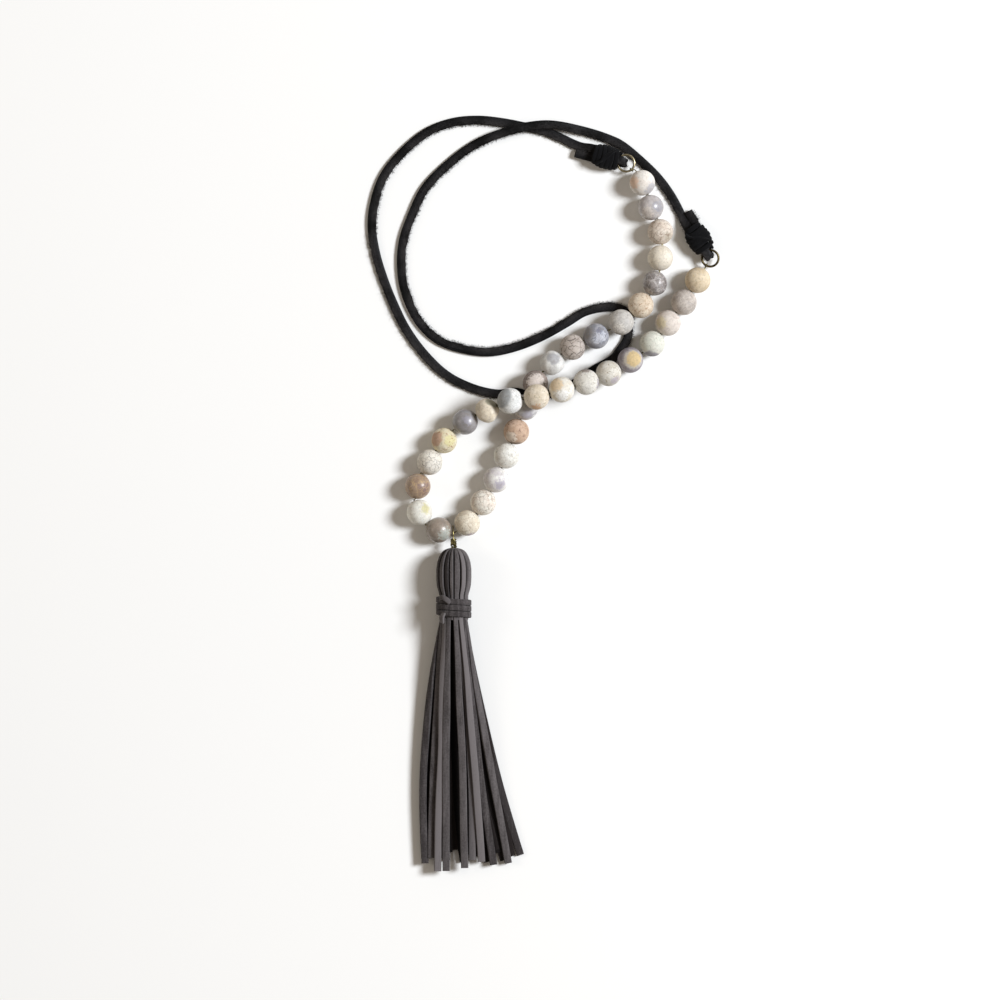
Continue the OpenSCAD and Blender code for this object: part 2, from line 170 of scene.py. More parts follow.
# smooth curve through chosen points, with evenly spaced points of its own
def smoothPath(route, steps):
    points = []
    for i in range(len(route) - 1):
        b, c = route[i], route[i + 1]
        a = route[i - 1] if i > 0 else 2 * b - c
        d = route[i + 2] if i < len(route) - 2 else 2 * c - b
        for k in range(steps):
            t = k / steps
            points.append(0.5 * (2 * b + (c - a) * t + (2 * a - 5 * b + 4 * c - d) * t ** 2
                                 + (3 * b - a - 3 * c + d) * t ** 3))
    return points + [route[-1]]


def heading(points, i):
    return (points[min(i + 1, len(points) - 1)] - points[max(i - 1, 0)]).normalized()


def flatDirection(angle):
    return Vector((cos(radians(angle)), sin(radians(angle)), 0))


# camera straight above, framed as the photo is

view = {"centre": Vector((-24.3, 5.6, 0)) * mm, "width": 388 * mm, "height": 2500 * mm, "sensor": 36}

cameraData = bpy.data.cameras.new("camera")
cameraData.sensor_width = view["sensor"]
cameraData.lens = view["sensor"] * view["height"] / view["width"]
cameraData.clip_start, cameraData.clip_end = 0.1, 10
camera = addObject("camera", cameraData)
camera.location = view["centre"] + view["height"] * up
bpy.context.scene.camera = camera
print("camera placed")


# strips, cords and wires: a flat or round profile swept along curves

# vegetable-tanned leather cord, dyed black: smooth grain on top, raw fibrous edges that take no shine
def blackLeather():
    material, add, place = newMaterial("black_leather_lace")
    across = add("ShaderNodeAttribute", attribute_name="across")
    # grain of about 0.5 mm, drawn coarser than the real 0.2 mm so that it shows; wear in patches of 9 mm
    grain = add("ShaderNodeTexNoise", {"Vector": place, "Scale": 1900, "Detail": 5, "Roughness": 0.65})
    patches = add("ShaderNodeTexNoise", {"Vector": place, "Scale": 110, "Detail": 3})
    edge = add("ShaderNodeMapRange", {"Value": across.outputs["Fac"], "From Min": 0.2, "From Max": 0.9})
    wear = add("ShaderNodeMath", {0: patches, 1: grain}, operation="MULTIPLY")
    level = add("ShaderNodeMapRange", {"Value": wear, "From Min": 0.18, "From Max": 0.34})
    top = add("ShaderNodeMix", {0: level, 6: "#020202", 7: "#1d1c1e"}, data_type="RGBA")
    fibre = add("ShaderNodeMix", {0: level, 6: "#0b0a0a", 7: "#302e2e"}, data_type="RGBA")
    both = add("ShaderNodeMix", {0: edge, 6: top, 7: fibre}, data_type="RGBA")
    rough = add("ShaderNodeMapRange", {"Value": edge, "To Min": 0.45, "To Max": 0.95})
    bump = add("ShaderNodeBump", {"Height": grain, "Strength": 0.6, "Distance": 0.25 * mm})
    return finishMaterial(material, {
        "Base Color": both, "Roughness": rough, "Specular IOR Level": 0.12, "Normal": bump})


# split suede, dyed grey-brown: short nap, a soft bloom at grazing light and paler brushed streaks
# given near-black tones it stands for painted shade, as on the inner strips and the head's core
def greySuede(name, dark, light):
    material, add, place = newMaterial(name)
    tint = add("ShaderNodeAttribute", attribute_name="tint")
    # nap of about 0.7 mm, drawn coarser than the real 0.1 mm so that it shows
    nap = add("ShaderNodeTexNoise", {"Vector": place, "Scale": 1500, "Detail": 6, "Roughness": 0.7})
    # strokes where the nap was brushed, 1.4 mm wide and drawn out to 12 mm along the strips
    stretched = add("ShaderNodeMapping", {"Vector": place, "Scale": (1, 0.12, 1)})
    strokes = add("ShaderNodeTexNoise", {"Vector": stretched, "Scale": 700, "Detail": 4, "Roughness": 0.6})
    mixed = add("ShaderNodeMath", {0: nap, 1: strokes}, operation="ADD")
    tinted = add("ShaderNodeMath", {0: mixed, 1: tint.outputs["Fac"]}, operation="ADD")
    level = add("ShaderNodeMapRange", {"Value": tinted, "From Min": 1.1, "From Max": 1.9})
    tone = add("ShaderNodeMix", {0: level, 6: dark, 7: light}, data_type="RGBA")
    bump = add("ShaderNodeBump", {"Height": mixed, "Strength": 0.8, "Distance": 0.15 * mm})
    return finishMaterial(material, {
        "Base Color": tone, "Roughness": 0.92, "Specular IOR Level": 0.15,
        "Sheen Weight": 0.06, "Sheen Roughness": 0.5, "Normal": bump})


# drawn brass wire: bright where it is rubbed, darker and browner where it has aged
def brass(name, bright, aged, roughness):
    material, add, place = newMaterial(name)
    # spots of age about 1 mm wide
    age = add("ShaderNodeTexNoise", {"Vector": place, "Scale": 900, "Detail": 4})
    level = add("ShaderNodeMapRange", {"Value": age, "From Min": 0.4, "From Max": 0.65})
    tone = add("ShaderNodeMix", {0: level, 6: bright, 7: aged}, data_type="RGBA")
    rough = add("ShaderNodeMapRange", {"Value": level, "To Min": roughness, "To Max": roughness + 0.2})
    return finishMaterial(material, {"Base Color": tone, "Metallic": 1.0, "Roughness": rough})


# sweeps a rounded rectangle, or a circle where Round is on, along every spline
def sweepTree():
    tree, add, given = newGeometryTree("swept_strip", [
        ("Width", "NodeSocketFloat", 2.8 * mm), ("Thickness", "NodeSocketFloat", 1.4 * mm),
        ("Corner", "NodeSocketFloat", 0.3 * mm), ("Corner Points", "NodeSocketInt", 2),
        ("Round", "NodeSocketBool", False), ("Sides", "NodeSocketInt", 12),
        ("Tint Seed", "NodeSocketInt", 0), ("Material", "NodeSocketMaterial", None)])
    rectangle = add("GeometryNodeCurvePrimitiveQuadrilateral", {
        "Width": given["Width"], "Height": given["Thickness"]})
    rounded = add("GeometryNodeFilletCurve", {
        "Curve": rectangle, "Count": given["Corner Points"], "Radius": given["Corner"]}, mode="POLY")
    radius = add("ShaderNodeMath", {0: given["Width"], 1: 2}, operation="DIVIDE")
    circle = add("GeometryNodeCurvePrimitiveCircle", {"Resolution": given["Sides"], "Radius": radius})
    profile = add("GeometryNodeSwitch", {
        "Switch": given["Round"], "False": rounded, "True": circle}, input_type="GEOMETRY")
    tint = add("FunctionNodeRandomValue", {
        "ID": add("GeometryNodeInputIndex"), "Seed": given["Tint Seed"]}, data_type="FLOAT")
    marked = add("GeometryNodeStoreNamedAttribute", {
        "Geometry": given["Geometry"], "Name": "tint", "Value": tint}, data_type="FLOAT", domain="CURVE")
    swept = add("GeometryNodeCurveToMesh", {
        "Curve": marked, "Profile Curve": profile, "Fill Caps": True,
        "Scale": add("GeometryNodeInputRadius")})
    return finishGeometryTree(tree, given, swept)


# curve data with one spline for each (points, sides, sizes); the profile's width lies along the side
def splines(name, rows):
    data = bpy.data.curves.new(name, "CURVE")
    data.dimensions = "3D"
    data.twist_mode = "Z_UP"
    for points, sides, sizes in rows:
        spline = data.splines.new("POLY")
        spline.points.add(len(points) - 1)
        for i, point in enumerate(points):
            along = heading(points, i)
            level = along.cross(up).normalized()
            side = sides[i] - sides[i].dot(along) * along
            spline.points[i].co = (*point, 1)
            spline.points[i].tilt = atan2(side.cross(level).dot(-along), side.dot(level))
            spline.points[i].radius = sizes[i]
    return data


def evenRow(points, side, size=1):
    return points, [side] * len(points), [size] * len(points)


# a piece of round wire along a route; the side only sets where its seam lies
def roundWire(name, points, side, size, sides, metal, sharpAngle=60):
    return grown(name, splines(name, [evenRow(points, side)]), sweepStrips, {
        "Width": size, "Round": True, "Sides": sides, "Material": metal}, sharpAngle)


sweepStrips = sweepTree()
goldWire = brass("gold_filled_wire", "#8f8458", "#3a3420", 0.34)
agedBrass = brass("antique_brass_ring", "#6f6244", "#2f281c", 0.3)
# ring 1's brass is a paler copy of ring 2's, standing for the bright highlights it shows: painted light
paintedLightBrass = brass("brass_ring_painted_light", "#b9ae90", "#6b6048", 0.25)
laceLeather = blackLeather()
# loose fibres of the raw leather edge, which catch the light grey, in tufts of about 1.4 mm
fibreLeather = twoToned("leather_fibre", {"Scale": 700}, "#0f0d0d", "#3a3636", {
    "Roughness": 0.9, "Specular IOR Level": 0.1})
# flat-plaited suede cord, dyed black: deep nap that swallows nearly all light, drawn at 0.6 mm to show
bindingSuede = twoToned(
    "black_suede_binding", {"Scale": 1600, "Detail": 6, "Roughness": 0.75}, "#020203", "#121214",
    {"Roughness": 0.95, "Specular IOR Level": 0.1, "Sheen Weight": 0.03, "Sheen Roughness": 0.6},
    relief=0.9, depth=0.3 * mm)


# leather lace, on the same route as its solid

lace = {
    "width": 3.4 * mm, "thickness": 1.5 * mm, "turns": [-17, -60], "fold": 1.35 * mm, "steps": 12,
    # shape of the cut strip: points round it, how square it is across and up, how domed, how ragged
    "sides": 20, "square": (0.35, 0.45), "dome": 0.18, "rag": 0.3 * mm, "ragMost": 0.2 * mm,
    # fibres of the raw edge; the strip turns over once, this far along
    "fibres": 8000, "fibreLength": 1.15 * mm, "fibreWidth": 0.08 * mm, "rawArea": 610 * 1.3 * mm * mm,
    "turnOver": 150 * mm,
    # x and y in mm, as the solid's route has them, and the lift above the floor where it crosses itself
    "route": [
        (-5, 148), (-13, 150), (-23, 152), (-33, 153), (-43, 152), (-53, 148), (-62.5, 140), (-69.5, 131),
        (-73, 121), (-74, 111.5), (-72.5, 101.5), (-69.5, 91.5), (-65.5, 81.5), (-60.5, 71.5), (-53.5, 62),
        (-45, 54), (-35, 49), (-25.5, 46.8), (-18.5, 47.5), (-12.5, 46.2), (-5, 46.8), (4, 50.5), (12, 56),
        (19, 60), (22.5, 64), (25, 68), (25.6, 72.5), (25.2, 77.3), (22, 79.8), (16.5, 80.4), (8.5, 78.5),
        (1.5, 74.3), (-8, 69), (-18, 65), (-28, 63), (-38, 64), (-48, 67.5), (-55.5, 74.5), (-60.5, 84.5),
        (-62.5, 94.5), (-62, 105.5), (-58.5, 116), (-53, 127), (-43, 137), (-33, 144, 0.3),
        (-23, 148, 1.71), (-13, 150.5, 1.9), (-3.5, 151, 1.71), (8.56, 148.62, 0.3), (17.61, 145.75),
        (23.51, 142.79), (30.8, 136.7), (37.2, 130.3), (42.2, 123.4)],
    # an end from its cut, round the ring and back: distance, offset in widths, height in folds
    "end": [
        (-20, 0.56, -1.3), (-14, 0.5, -0.65), (-9.5, 0.32, -0.62), (-6, 0.25, -0.75),
        (-3.3, 0.15, -1), (-1.9, 0.1, -1), (-0.9, 0.05, -0.7), (-0.55, 0, 0), (-0.9, -0.05, 0.7),
        (-1.9, -0.1, 1), (-3.3, -0.15, 1), (-6, -0.25, 0.75), (-9.5, -0.32, 0.62), (-14, -0.5, 0),
        (-20, -0.35, -1.9)],
}
ringPlaces = [boxCentre("jump_ring_1"), boxCentre("jump_ring_2")]
ringRadius = 3.2 * mm  # to the middle of its wire


def laceEnd(k):
    along = flatDirection(lace["turns"][k])
    across = (-1 if k == 0 else 1) * up.cross(along)
    points = []
    for back, offset, lift in lace["end"]:
        point = ringPlaces[k] + back * mm * along + offset * lace["width"] * across
        point.z = max(ringPlaces[k].z + lift * lace["fold"], lace["thickness"] / 2)
        points.append(point)
    return points


def lacePath():
    middle = [Vector((x, y, *(lift or [0]))) * mm + lace["thickness"] / 2 * up
              for x, y, *lift in lace["route"]]
    return smoothPath(laceEnd(0) + middle + laceEnd(1)[::-1], lace["steps"])


# one closed tube: a flat profile with a domed top, its edges uneven as cut leather is
def laceMesh(points):
    half, thick = lace["width"] / 2, lace["thickness"] / 2
    profile = []
    for k in range(lace["sides"]):
        a = 2 * pi * k / lace["sides"]
        x = half * copysign(abs(cos(a)) ** lace["square"][0], cos(a))
        z = thick * copysign(abs(sin(a)) ** lace["square"][1], sin(a))
        profile.append((x, z * (1 - lace["dome"] * (x / half) ** 2)))
    side = up.cross(flatDirection(lace["turns"][0]))
    corners, acrossValues, edgeValues = [], [], []
    travelled = 0
    for i, point in enumerate(points):
        along = heading(points, i)
        level = up.cross(along)
        # where the run is steep, as round a ring, the side before it is kept
        if level.length > 0.35:
            side = level.normalized() if level.dot(side) > 0 else -level.normalized()
        side = (side - side.dot(along) * along).normalized()
        normal = along.cross(side)
        travelled += (point - points[max(i - 1, 0)]).length
        # the raw edge is on the left of the run at first, and on the right once the strip has turned over
        inner = 1 if (side.dot(level) > 0) == (travelled < lace["turnOver"]) else -1
        rag = noise.fractal(point * 900, 1, 2, 3) * lace["rag"]
        for x, z in profile:
            raw = smoothStep(0.5 + 0.75 * inner * x / half)
            reach = rag * raw * (abs(x) / half) ** 2
            corners.append(point + (x + inner * min(reach, lace["ragMost"])) * side + z * normal)
            acrossValues.append(raw)
            edgeValues.append(1.0 if inner * x / half > 0.9 else 0.0)
    count = len(profile)
    faces = [
        (i * count + j, i * count + (j + 1) % count, (i + 1) * count + (j + 1) % count, (i + 1) * count + j)
        for i in range(len(points) - 1) for j in range(count)]
    faces.append(tuple(range(count - 1, -1, -1)))
    faces.append(tuple(range(len(corners) - count, len(corners))))
    mesh = newMesh("leather_lace_body", corners, faces)
    for name, values in (("across", acrossValues), ("edge", edgeValues)):
        mesh.attributes.new(name, "FLOAT", "POINT").data.foreach_set("value", values)
    return mesh


# short curved hairs on the raw edge, which the attribute edge marks
def fibreTree():
    tree, add, given = newGeometryTree("edge_fibres", [
        ("Count", "NodeSocketInt", 4000), ("Length", "NodeSocketFloat", 0.7 * mm),
        ("Width", "NodeSocketFloat", 0.05 * mm), ("Seed", "NodeSocketInt", 3),
        ("Material", "NodeSocketMaterial", None)])
    mask = add("GeometryNodeInputNamedAttribute", {"Name": "edge"}, data_type="FLOAT")
    area = add("ShaderNodeMath", {0: given["Count"], 1: lace["rawArea"]}, operation="DIVIDE")
    density = add("ShaderNodeMath", {0: mask, 1: area}, operation="MULTIPLY")
    roots = add("GeometryNodeDistributePointsOnFaces", {
        "Mesh": given["Geometry"], "Density": density, "Seed": given["Seed"]})
    hair = add("GeometryNodeCurvePrimitiveBezierSegment", {
        "Resolution": 2, "Start": (0, 0, -0.1), "Start Handle": (0, 0, 0.3),
        "End Handle": (0.1, 0, 0.6), "End": (0.45, 0, 0.9)})
    flat = add("GeometryNodeCurvePrimitiveCircle", {"Resolution": 3, "Radius": 0.5})
    thin = add("ShaderNodeMath", {0: given["Width"], 1: given["Length"]}, operation="DIVIDE")
    sized = add("GeometryNodeTransform", {
        "Geometry": flat, "Scale": add("ShaderNodeCombineXYZ", {"X": thin, "Y": thin, "Z": 1.0})})
    blade = add("GeometryNodeCurveToMesh", {"Curve": hair, "Profile Curve": sized, "Fill Caps": True})
    spin = add("FunctionNodeRandomValue", {
        0: (-0.7, -0.7, -3.14), 1: (0.7, 0.7, 3.14)}, data_type="FLOAT_VECTOR")
    turned = add("FunctionNodeRotateRotation", {
        0: roots.outputs["Rotation"], 1: add("FunctionNodeEulerToRotation", {0: spin})},
        rotation_space="LOCAL")
    grow = add("FunctionNodeRandomValue", {2: 0.15, 3: 1.0}, data_type="FLOAT")
    size = add("ShaderNodeMath", {0: grow, 1: given["Length"]}, operation="MULTIPLY")
    hairs = add("GeometryNodeInstanceOnPoints", {
        "Points": roots.outputs["Points"], "Instance": blade, "Rotation": turned, "Scale": size})
    return finishGeometryTree(tree, given, hairs)


def joined(name, pieces):
    with bpy.context.temp_override(active_object=pieces[0], selected_editable_objects=pieces):
        bpy.ops.object.join()
    pieces[0].name = pieces[0].data.name = name
    return pieces[0]


def keepAbove(piece, lowest=0.02 * mm):
    for vertex in piece.data.vertices:
        vertex.co.z = max(vertex.co.z, lowest)


def makeLace():
    points = lacePath()
    body = addObject("lace_body", laceMesh(points))
    body.data.materials.append(laceLeather)
    body.data.shade_smooth()
    fibres = grown("lace_fibres", body.data.copy(), fibreTree(), {
        "Count": lace["fibres"], "Length": lace["fibreLength"], "Width": lace["fibreWidth"],
        "Material": fibreLeather})
    piece = joined("black_lace", [body, fibres])
    keepAbove(piece)
    return piece, points


laceCord, laceLine = makeLace()


# bindings: flat suede cord wound round the two layers at each end of the lace

binding = {
    "width": 1.9 * mm, "thickness": 1.1 * mm, "turns": 6, "back": [8.1 * mm, 8.6 * mm],
    "halfWidth": 2.95 * mm, "halfHeight": 1.75 * mm, "pitch": 1.65 * mm, "bulge": 0.6 * mm, "taper": 0.2,
    "lean": 0.5, "wobble": 0.5 * mm, "square": 0.85, "steps": 24,
    "crossUnder": 0.3 * mm, "crossOver": 0.8 * mm,
    # the last turn comes back over the others and is tucked under the first: degrees, mm along, lift
    "crossing": [(15, 3.6, 0), (35, 3.0, 0.6), (60, 1.8, 1), (85, 0.4, 1), (110, -1.2, 1), (135, -2.8, 0.8),
                 (155, -3.9, 0.2)],
}


def bindingRows(k):
    rng = random.Random(20 + k)
    along = flatDirection(lace["turns"][k])
    across = up.cross(along)
    centre = ringPlaces[k] - binding["back"][k] * along
    a = binding["halfWidth"] + binding["thickness"] / 2
    b = binding["halfHeight"] + binding["thickness"] / 2

    def around(turn, shift, out):
        x = copysign(abs(cos(turn)) ** binding["square"], cos(turn))
        z = copysign(abs(sin(turn)) ** binding["square"], sin(turn))
        end = abs(2 * shift / (binding["turns"] * binding["pitch"])) ** 3
        return (centre + shift * along + (a + out) * (1 - binding["taper"] * end) * x * across
                + (b + out) * (1 - 0.5 * binding["taper"] * end) * z * up)

    count = binding["steps"] * binding["turns"]
    winding, sides, lean = [], [], 0
    for i in range(count + 1):
        turn = 2 * pi * i / binding["steps"]
        if i % binding["steps"] == 0:
            lean = rng.uniform(-binding["lean"], binding["lean"])
        shift = (i / count - 0.5) * binding["turns"] * binding["pitch"]
        bulge = binding["bulge"] * cos(pi * (i / count - 0.5))
        wobble = binding["wobble"] * noise.noise(Vector((i * 0.21, k * 7, 0)))
        winding.append(around(turn, shift + wobble + lean * mm * sin(turn), bulge + abs(wobble)))
        sides.append(along + 0.12 * sin(turn * 1.7 + k) * up)
    rows = [(winding, sides, [1] * len(winding))]
    crossing = smoothPath([
        around(radians(angle), shift * mm, binding["crossOver"] * lift + binding["crossUnder"])
        for angle, shift, lift in binding["crossing"]], 4)
    return rows + [evenRow(crossing, along + across, 0.9)]


def makeBinding(k):
    piece = grown(f"lace_knot_{k + 1}", splines("binding", bindingRows(k)), sweepStrips, {
        "Width": binding["width"], "Thickness": binding["thickness"], "Corner": 0.55 * mm,
        "Corner Points": 4, "Material": bindingSuede}, 60)
    keepAbove(piece)
    dress(piece, f"lace_binding_{k + 1}")
    return piece


knots = [makeBinding(k) for k in range(2)]
dress(laceCord, "leather_lace")
print("lace bound at both ends")


# stone beads, each turned along its string

bead = {"radius": 5 * mm, "bore": 0.65 * mm, "rim": 0.25 * mm, "turns": 64, "rings": 40,
        "chips": 0.05 * mm, "deepChips": 0.17 * mm}

beadPlaces = [boxCentre(f"bead_{n:02d}") for n in range(1, beadCount + 1)]
wireLow = (beadPlaces[stringLength - 1] + beadPlaces[stringLength]) / 2


# along the string, from the bead before to the one after; the ends look to their rings
def boreDirection(n):
    before = wireLow if n == stringLength + 1 else beadPlaces[max(n - 2, 0)]
    after = wireLow if n == stringLength else beadPlaces[min(n, beadCount - 1)]
    if n == 1:
        before = ringPlaces[0] + (beadPlaces[0] - ringPlaces[0]).normalized() * ringRadius
    if n == beadCount:
        after = ringPlaces[1] + (beadPlaces[-1] - ringPlaces[1]).normalized() * ringRadius
    return (after - before).normalized()


# sphere drilled along Z, with a softened rim at both mouths of the bore
def drilledSphere():
    radius, bore, rim = bead["radius"], bead["bore"], bead["rim"]
    outline = []
    first = asin((bore + rim) / radius)
    for k in range(bead["rings"] + 1):
        a = first + (pi - 2 * first) * k / bead["rings"]
        outline.append((radius * sin(a), radius * cos(a)))
    mouth = sqrt(radius ** 2 - (bore + rim) ** 2) - rim
    outline += [(bore, mouth * s) for s in (-1, -0.5, 0, 0.5, 1)]
    turns = bead["turns"]
    corners = [
        Vector((r * cos(2 * pi * j / turns), r * sin(2 * pi * j / turns), z))
        for r, z in outline for j in range(turns)]
    count = len(outline)
    faces = [
        (i * turns + j, (i + 1) % count * turns + j, (i + 1) % count * turns + (j + 1) % turns,
         i * turns + (j + 1) % turns)
        for i in range(count) for j in range(turns)]
    return newMesh("drilled_sphere", corners, faces)


# worn stone: soft unevenness over 6 mm, and shallow chips of about 1.6 mm where a second noise is high
def beadTree():
    tree, add, given = newGeometryTree("worn_bead", [
        ("Seed", "NodeSocketFloat", 0), ("Uneven", "NodeSocketFloat", 0.06 * mm),
        ("Chips", "NodeSocketFloat", 0.05 * mm), ("Turn", "NodeSocketRotation", None),
        ("Place", "NodeSocketVector", (0, 0, 0)), ("Material", "NodeSocketMaterial", None)])
    place = add("GeometryNodeInputPosition")
    normal = add("GeometryNodeInputNormal")
    # 0.75 is about the noise's highest, so a bead shrinks in places and never grows past its radius
    soft = add("ShaderNodeTexNoise", {
        "Vector": place, "W": given["Seed"], "Scale": 170, "Detail": 2}, noise_dimensions="4D")
    fine = add("ShaderNodeTexNoise", {
        "Vector": place, "W": given["Seed"], "Scale": 620, "Detail": 3}, noise_dimensions="4D")
    hollow = add("ShaderNodeMapRange", {
        "Value": fine, "From Min": 0.56, "From Max": 0.7, "To Min": 0.0, "To Max": 1.0})
    swell = add("ShaderNodeMath", {
        0: add("ShaderNodeMath", {0: soft, 1: 0.75}, operation="SUBTRACT"),
        1: given["Uneven"]}, operation="MULTIPLY")
    chip = add("ShaderNodeMath", {0: hollow, 1: given["Chips"]}, operation="MULTIPLY")
    depth = add("ShaderNodeMath", {0: swell, 1: chip}, operation="SUBTRACT")
    push = add("ShaderNodeVectorMath", {0: normal, "Scale": depth}, operation="SCALE")
    worn = add("GeometryNodeSetPosition", {"Geometry": given["Geometry"], "Offset": push})
    placed = add("GeometryNodeTransform", {
        "Geometry": worn, "Translation": given["Place"], "Rotation": given["Turn"]})
    return finishGeometryTree(tree, given, placed)


# dyed and natural agate, tumbled to a frosted matt: waxy, with light that goes a little way in
def agate(n, look):
    material, add, place = newMaterial(f"agate_{n:02d}")
    centre = beadPlaces[n - 1]
    local = add("ShaderNodeMapping", {
        "Vector": place, "Location": tuple(-centre / bead["radius"]), "Scale": (1 / bead["radius"],) * 3})
    seed = n * 3.7
    bend = add("ShaderNodeTexNoise", {
        "Vector": local, "W": seed, "Scale": 2.2, "Detail": 4}, noise_dimensions="4D")
    shift = add("ShaderNodeVectorMath", {0: bend.outputs["Color"], 1: (0.5, 0.5, 0.5)}, operation="SUBTRACT")
    bent = add("ShaderNodeVectorMath", {0: shift, 1: (look["bend"],) * 3, 2: local}, operation="MULTIPLY_ADD")
    cloud = add("ShaderNodeTexNoise", {
        "Vector": bent, "W": seed + 1, "Scale": 1.6, "Detail": 5, "Roughness": 0.62}, noise_dimensions="4D")
    level = add("ShaderNodeMapRange", {"Value": cloud, "From Min": 0.42, "From Max": 0.62})
    tone = add("ShaderNodeMix", {0: level, 6: look["base"], 7: look["cloud"]}, data_type="RGBA")

    # mottling of about 0.8 mm, which also breaks the edges of the patches
    mottle = add("ShaderNodeTexNoise", {
        "Vector": bent, "W": seed + 3, "Scale": 6.5, "Detail": 6, "Roughness": 0.72}, noise_dimensions="4D")
    ragged = look["ragged"]
    for x, y, size, code in look.get("patches", []):
        spot = Vector((x, y, sqrt(max(1 - x * x - y * y, 0))))
        away = add("ShaderNodeVectorMath", {0: bent, 1: tuple(spot)}, operation="DISTANCE")
        broken = add("ShaderNodeMath", {
            0: mottle, 1: ragged, 2: away.outputs["Value"]}, operation="MULTIPLY_ADD")
        inside = add("ShaderNodeMapRange", {
            "Value": broken, "From Min": size * 1.1 + ragged / 2,
            "From Max": size * 0.8 + ragged / 2, "To Max": 0.85}, interpolation_type="SMOOTHSTEP")
        tone = add("ShaderNodeMix", {0: inside, 6: tone, 7: code}, data_type="RGBA")

    lines = None
    if "veins" in look:
        code, scale, width = look["veins"]
        cells = add("ShaderNodeTexVoronoi", {
            "Vector": bent, "W": seed, "Scale": scale}, feature="DISTANCE_TO_EDGE", voronoi_dimensions="4D")
        lines = add("ShaderNodeMapRange", {
            "Value": cells, "From Min": width, "From Max": 0.0, "To Max": 0.85})
        tone = add("ShaderNodeMix", {0: lines, 6: tone, 7: code}, data_type="RGBA")

    if "specks" in look:
        code, scale, amount = look["specks"]
        grains = add("ShaderNodeTexNoise", {
            "Vector": bent, "W": seed + 2, "Scale": scale, "Detail": 3, "Roughness": 0.7},
            noise_dimensions="4D")
        dots = add("ShaderNodeMapRange", {
            "Value": grains, "From Min": 0.68 - amount, "From Max": 0.76 - amount, "To Max": 0.9})
        tone = add("ShaderNodeMix", {0: dots, 6: tone, 7: code}, data_type="RGBA")

    # worn pits gather brown dust, and the whole stone is a little uneven in tone
    dusty = add("ShaderNodeMapRange", {"Value": mottle, "From Min": 0.53, "From Max": 0.68, "To Max": 0.4})
    tone = add("ShaderNodeMix", {0: dusty, 6: tone, 7: "#a58d72"}, data_type="RGBA")
    shade = add("ShaderNodeMapRange", {
        "Value": mottle, "From Min": 0.35, "From Max": 0.65, "To Min": 1.0, "To Max": 0.76})
    tone = add("ShaderNodeMix", {0: 1.0, 6: tone, 7: shade}, data_type="RGBA", blend_type="MULTIPLY")
    muted = add("ShaderNodeHueSaturation", {"Color": tone, "Saturation": look["strong"], "Value": 0.9})

    # frosting of about 0.1 mm, drawn at 0.25 mm so that it shows
    frost = add("ShaderNodeTexNoise", {"Vector": local, "Scale": 20, "Detail": 4, "Roughness": 0.7})
    height = frost
    if lines:
        height = add("ShaderNodeMath", {0: height, 1: lines}, operation="SUBTRACT")
    bump = add("ShaderNodeBump", {"Height": height, "Strength": look["frost"], "Distance": 0.1 * mm})
    glossy = look["gloss"]
    return finishMaterial(material, {
        "Base Color": muted, "Roughness": 0.72 - 0.3 * glossy, "IOR": 1.54,
        "Specular IOR Level": 0.22 + 0.2 * glossy,
        "Subsurface Weight": 0.12 + 0.4 * look["clear"],
        "Subsurface Radius": (1.0, 0.85, 0.7), "Subsurface Scale": 1.6 * mm,
        "Coat Weight": 0.4 * glossy, "Coat Roughness": 0.22, "Normal": bump})


# a bead's usual look: gloss and clearness, strength of colour, how far the bands wander, unevenness in mm,
# how frosted it is and how ragged its patches' edges are
plainLook = {
    "gloss": 0, "clear": 0, "strong": 0.68, "bend": 0.5, "uneven": 0.15, "frost": 0.35, "ragged": 1.8}


def stone(base, cloud, **changes):
    return {**plainLook, "base": base, "cloud": cloud, **changes}
